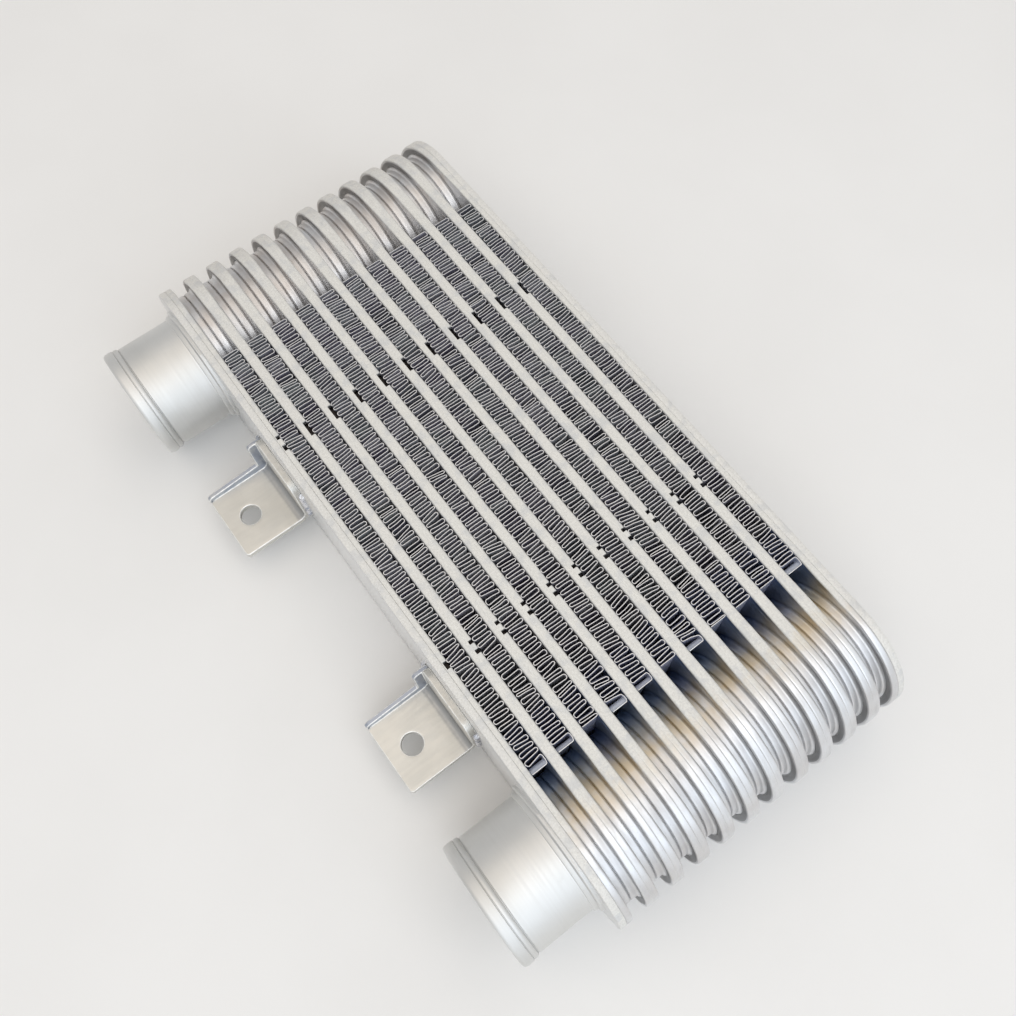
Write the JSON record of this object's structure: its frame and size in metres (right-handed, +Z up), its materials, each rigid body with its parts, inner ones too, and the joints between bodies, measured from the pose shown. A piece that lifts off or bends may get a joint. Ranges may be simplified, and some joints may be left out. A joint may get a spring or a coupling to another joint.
{
  "type": "hydraulic oil cooler",
  "caption": "Aluminium plate-and-fin cooler core with round-ended drawn tubes, corrugated air fins, two beaded hose spigots and two L-shaped mounting brackets on one side.",
  "frame": {"origin": "centre of the bounding box, on the face that the cooler rests on", "axes": "+X along the tubes, +Y through the stack away from the spigots, +Z up through the depth of the core, the way the cooling air flows"},
  "size_m": [0.322, 0.1686, 0.064],
  "materials": {
    "end_plate": "satin mill finish with a dry white flux bloom on its edge",
    "tube_plate": "bright drawn sheet, dry and whitish on the flat rims",
    "air_fin": "thin bright foil, slightly blued and dusty",
    "turbulator": "bright foil",
    "spigot": "smooth satin, turned",
    "bracket": "soft satin with deburred edges",
    "weld": "rippled weld bead"
  },
  "bodies": {
    "root": {"near_end_plate": "end_plate", "far_end_plate": "end_plate", "near_end_tray": "tube_plate", "far_end_tray": "tube_plate", "tube_01_front_plate": "tube_plate", "tube_02_front_plate": "tube_plate", "tube_03_front_plate": "tube_plate", "tube_04_front_plate": "tube_plate", "tube_05_front_plate": "tube_plate", "tube_06_front_plate": "tube_plate", "tube_07_front_plate": "tube_plate", "tube_08_front_plate": "tube_plate", "tube_09_front_plate": "tube_plate", "tube_10_front_plate": "tube_plate", "tube_01_rear_plate": "tube_plate", "tube_02_rear_plate": "tube_plate", "tube_03_rear_plate": "tube_plate", "tube_04_rear_plate": "tube_plate", "tube_05_rear_plate": "tube_plate", "tube_06_rear_plate": "tube_plate", "tube_07_rear_plate": "tube_plate", "tube_08_rear_plate": "tube_plate", "tube_09_rear_plate": "tube_plate", "tube_10_rear_plate": "tube_plate", "near_turbulator": "turbulator", "tube_01_turbulator": "turbulator", "tube_02_turbulator": "turbulator", "tube_03_turbulator": "turbulator", "tube_04_turbulator": "turbulator", "tube_05_turbulator": "turbulator", "tube_06_turbulator": "turbulator", "tube_07_turbulator": "turbulator", "tube_08_turbulator": "turbulator", "tube_09_turbulator": "turbulator", "tube_10_turbulator": "turbulator", "far_turbulator": "turbulator", "air_fin_01": "air_fin", "air_fin_02": "air_fin", "air_fin_03": "air_fin", "air_fin_04": "air_fin", "air_fin_05": "air_fin", "air_fin_06": "air_fin", "air_fin_07": "air_fin", "air_fin_08": "air_fin", "air_fin_09": "air_fin", "air_fin_10": "air_fin", "air_fin_11": "air_fin", "left_spigot": "spigot", "right_spigot": "spigot", "left_spigot_collar": "spigot", "right_spigot_collar": "spigot", "left_bracket": "bracket", "right_bracket": "bracket", "left_bracket_weld": "weld", "right_bracket_weld": "weld"}
  },
  "joints": []
}
